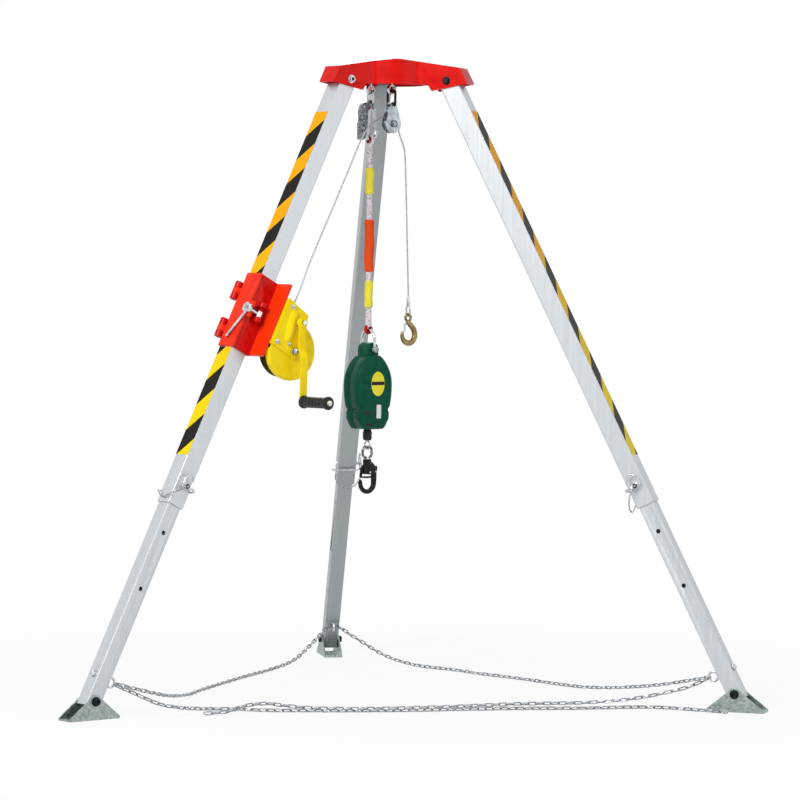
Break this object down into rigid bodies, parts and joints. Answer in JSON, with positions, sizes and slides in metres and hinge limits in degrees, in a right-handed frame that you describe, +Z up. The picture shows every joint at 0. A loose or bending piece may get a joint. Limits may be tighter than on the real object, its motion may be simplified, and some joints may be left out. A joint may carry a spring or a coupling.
{
  "type": "rescue tripod",
  "caption": "Rescue tripod with telescoping aluminium legs, clamped hand winch, cable pulley and hook, and a fall-arrest block on a rope sling.",
  "frame": {"origin": "on the floor, below the middle of the box round the standing tripod (cords left out)", "axes": "+Z up, +Y towards the rear leg, +X towards the right leg's side"},
  "size_m": [2.1682, 1.8792, 2.0055],
  "materials": {
    "black_part": "matt black",
    "black_steel": "black oxide",
    "block_green": "semi-gloss moulded",
    "bright_steel": "bright plated",
    "cable_wire": "stranded wire",
    "cast_head": "glossy red enamel",
    "chain_zinc": "zinc plated links",
    "clamp_paint": "glossy red enamel",
    "hook_gold": "yellow passivated",
    "leg_metal": "satin extruded",
    "rope_white": "braided, flecked",
    "sleeve_orange": "woven sleeve",
    "winch_paint": "glossy yellow enamel",
    "zinc_plate": "zinc plated, dull"
  },
  "bodies": {
    "head": {"head_shell": "cast_head", "pivot_bolt_left": "bright_steel", "pivot_bolt_right": "bright_steel", "pivot_bolt_rear": "bright_steel", "eye_bolt_centre": "bright_steel", "eye_bolt_left": "bright_steel", "winch_cable": "cable_wire", "hook_cable": "cable_wire", "chain_rear": "chain_zinc", "chain_front_left": "chain_zinc", "chain_front_right": "chain_zinc"},
    "outer_leg_left": {"outer_leg_left": "leg_metal", "clamp_saddle": "clamp_paint", "clamp_door": "clamp_paint", "clamp_bolt": "bright_steel", "winch_frame": "winch_paint", "gear_cover": "winch_paint", "drum_axle": "bright_steel"},
    "inner_leg_left": {"inner_leg_left": "leg_metal", "chain_eye_left": "bright_steel", "foot_bolt_left": "black_steel"},
    "shoe_left": {"foot_shoe_left": "zinc_plate"},
    "lock_pin_left": {"lock_pin_left": "bright_steel"},
    "outer_leg_right": {"outer_leg_right": "leg_metal"},
    "inner_leg_right": {"inner_leg_right": "leg_metal", "chain_eye_right": "bright_steel", "foot_bolt_right": "black_steel"},
    "shoe_right": {"foot_shoe_right": "zinc_plate"},
    "lock_pin_right": {"lock_pin_right": "bright_steel"},
    "outer_leg_rear": {"outer_leg_rear": "leg_metal"},
    "inner_leg_rear": {"inner_leg_rear": "leg_metal", "chain_eye_rear": "bright_steel", "foot_bolt_rear": "black_steel"},
    "shoe_rear": {"foot_shoe_rear": "zinc_plate"},
    "lock_pin_rear": {"lock_pin_rear": "bright_steel"},
    "winch_drum": {"winch_drum": "zinc_plate"},
    "crank": {"pinion_shaft": "bright_steel", "crank_arm": "winch_paint"},
    "grip": {"crank_grip": "black_part"},
    "load_hook": {"cable_eye": "bright_steel", "load_hook": "hook_gold"},
    "hook_latch": {"hook_latch": "bright_steel"},
    "pulley": {"pulley_cheeks": "zinc_plate", "pulley_link": "black_steel"},
    "sheave": {"pulley_sheave": "bright_steel"},
    "sling": {"snap_link": "bright_steel", "snap_hook": "zinc_plate", "sling_rope": "rope_white", "sling_sleeve": "sleeve_orange", "block_shackle": "bright_steel", "shackle_bolt": "zinc_plate"},
    "snap_gate": {"snap_gate": "bright_steel"},
    "block": {"housing_front": "block_green", "housing_back": "block_green"},
    "line_drum": {"line_drum": "bright_steel"},
    "line_end": {"line_stopper": "black_part", "hook_swivel": "bright_steel"},
    "block_hook": {"block_hook": "black_steel"},
    "block_gate": {"block_hook_gate": "bright_steel"},
    "clamp_handle": {"clamp_handle": "bright_steel"}
  },
  "joints": [
    {"name": "leg_fold_left", "type": "hinge", "parent": "head", "child": "outer_leg_left", "pos_m": [-0.16844, -0.39241, 1.9283], "axis": [0.5, -0.866, 0], "range_deg": [0, 23], "deforming": ["chain_rear", "chain_front_left", "winch_cable"]},
    {"name": "leg_slide_left", "type": "slide", "parent": "outer_leg_left", "child": "inner_leg_left", "axis": [0.3909, 0.2257, 0.8923], "range_m": [0, 0.339], "deforming": ["chain_rear", "chain_front_left"]},
    {"name": "shoe_tilt_left", "type": "hinge", "parent": "inner_leg_left", "child": "shoe_left", "pos_m": [-0.989, -0.86617, 0.055], "axis": [0.5, -0.866, 0], "range_deg": [-30, 30]},
    {"name": "lock_pin_pull_left", "type": "slide", "parent": "outer_leg_left", "child": "lock_pin_left", "axis": [0.5, -0.866, 0], "range_m": [0, 0.06]},
    {"name": "leg_fold_right", "type": "hinge", "parent": "head", "child": "outer_leg_right", "pos_m": [0.16844, -0.39241, 1.9283], "axis": [0.5, 0.866, 0], "range_deg": [0, 26.8], "deforming": ["chain_rear", "chain_front_right"]},
    {"name": "leg_slide_right", "type": "slide", "parent": "outer_leg_right", "child": "inner_leg_right", "axis": [-0.3909, 0.2257, 0.8923], "range_m": [0, 0.339], "deforming": ["chain_rear", "chain_front_right"]},
    {"name": "shoe_tilt_right", "type": "hinge", "parent": "inner_leg_right", "child": "shoe_right", "pos_m": [0.989, -0.86617, 0.055], "axis": [0.5, 0.866, 0], "range_deg": [-30, 30]},
    {"name": "lock_pin_pull_right", "type": "slide", "parent": "outer_leg_right", "child": "lock_pin_right", "axis": [-0.5, -0.866, 0], "range_m": [0, 0.06]},
    {"name": "leg_fold_rear", "type": "hinge", "parent": "head", "child": "outer_leg_rear", "pos_m": [0, -0.10066, 1.9283], "axis": [-1, 0, 0], "range_deg": [0, 26.8], "deforming": ["chain_rear"]},
    {"name": "leg_slide_rear", "type": "slide", "parent": "outer_leg_rear", "child": "inner_leg_rear", "axis": [0, -0.4513, 0.8923], "range_m": [0, 0.339], "deforming": ["chain_rear"]},
    {"name": "shoe_tilt_rear", "type": "hinge", "parent": "inner_leg_rear", "child": "shoe_rear", "pos_m": [0, 0.84684, 0.055], "axis": [-1, 0, 0], "range_deg": [-30, 30]},
    {"name": "lock_pin_pull_rear", "type": "slide", "parent": "outer_leg_rear", "child": "lock_pin_rear", "axis": [1, 0, 0], "range_m": [0, 0.06]},
    {"name": "drum_turn", "type": "hinge", "parent": "outer_leg_left", "child": "winch_drum", "pos_m": [-0.37845, -0.58294, 1.08792], "axis": [0.5, -0.866, 0], "range_deg": [-900, 300], "deforming": ["hook_cable", "winch_cable"]},
    {"name": "crank_turn", "type": "hinge", "parent": "outer_leg_left", "child": "crank", "pos_m": [-0.33338, -0.62621, 1.17549], "axis": [0.5, -0.866, 0], "range_deg": [-1805, 5405]},
    {"name": "grip_spin", "type": "hinge", "parent": "crank", "child": "grip", "pos_m": [-0.3003, -0.69948, 0.93462], "axis": [0.5, -0.866, 0], "continuous": true},
    {"name": "hook_lift", "type": "slide", "parent": "head", "child": "load_hook", "axis": [0, 0, 1], "range_m": [-0.9648, 0.3249], "deforming": ["hook_cable"]},
    {"name": "sheave_turn", "type": "hinge", "parent": "pulley", "child": "sheave", "pos_m": [0, -0.29516, 1.7965], "axis": [0.5, -0.866, 0], "range_deg": [-2095.87, 701.96]},
    {"name": "pulley_swing", "type": "hinge", "parent": "head", "child": "pulley", "pos_m": [0, -0.29516, 1.9003], "axis": [0.5, -0.866, 0], "range_deg": [-10, 10], "deforming": ["winch_cable", "hook_cable"]},
    {"name": "hook_latch_swing", "type": "hinge", "parent": "load_hook", "child": "hook_latch", "pos_m": [0.05543, -0.26316, 1.166], "axis": [0.5, -0.866, 0], "range_deg": [0, 28], "stiffness_Nm_per_rad": 0.02, "springref_deg": -17.19},
    {"name": "sling_swing", "type": "hinge", "parent": "head", "child": "sling", "pos_m": [-0.06003, -0.25419, 1.8998], "axis": [0.5, -0.866, 0], "range_deg": [-5, 5]},
    {"name": "snap_gate_swing", "type": "hinge", "parent": "sling", "child": "snap_gate", "pos_m": [-0.04834, -0.24744, 1.8418], "axis": [-0.5, 0.866, 0], "range_deg": [0, 24], "stiffness_Nm_per_rad": 0.02, "springref_deg": -17.19},
    {"name": "block_swing", "type": "hinge", "parent": "sling", "child": "block", "pos_m": [-0.06003, -0.25419, 1.086], "axis": [0.5, -0.866, 0], "range_deg": [-8, 8]},
    {"name": "line_drum_turn", "type": "hinge", "parent": "block", "child": "line_drum", "pos_m": [-0.06003, -0.25419, 0.97], "axis": [0.5, -0.866, 0], "range_deg": [0, 720], "stiffness_Nm_per_rad": 0.02, "springref_deg": -859.44},
    {"name": "line_out", "type": "slide", "parent": "block", "child": "line_end", "axis": [0, 0, -1], "range_m": [0, 0.4815]},
    {"name": "block_hook_spin", "type": "hinge", "parent": "line_end", "child": "block_hook", "pos_m": [-0.06003, -0.25419, 0.73], "axis": [0, 0, 1], "continuous": true},
    {"name": "block_gate_swing", "type": "hinge", "parent": "block_hook", "child": "block_gate", "pos_m": [-0.07952, -0.26544, 0.709], "axis": [0.5, -0.866, 0], "range_deg": [0, 24], "stiffness_Nm_per_rad": 0.02, "springref_deg": -17.19},
    {"name": "clamp_handle_turn", "type": "hinge", "parent": "outer_leg_left", "child": "clamp_handle", "pos_m": [-0.49895, -0.64097, 1.22149], "axis": [-0.7728, -0.4462, 0.4513], "range_deg": [0, 170]}
  ],
  "couplings": [
    {"joint": "crank_turn", "follows": "drum_turn", "ratio": -6},
    {"joint": "hook_lift", "follows": "drum_turn", "m_per_rad": 0.0611},
    {"joint": "sheave_turn", "follows": "drum_turn", "ratio": 2.3232},
    {"joint": "line_out", "follows": "line_drum_turn", "m_per_rad": 0.038}
  ]
}
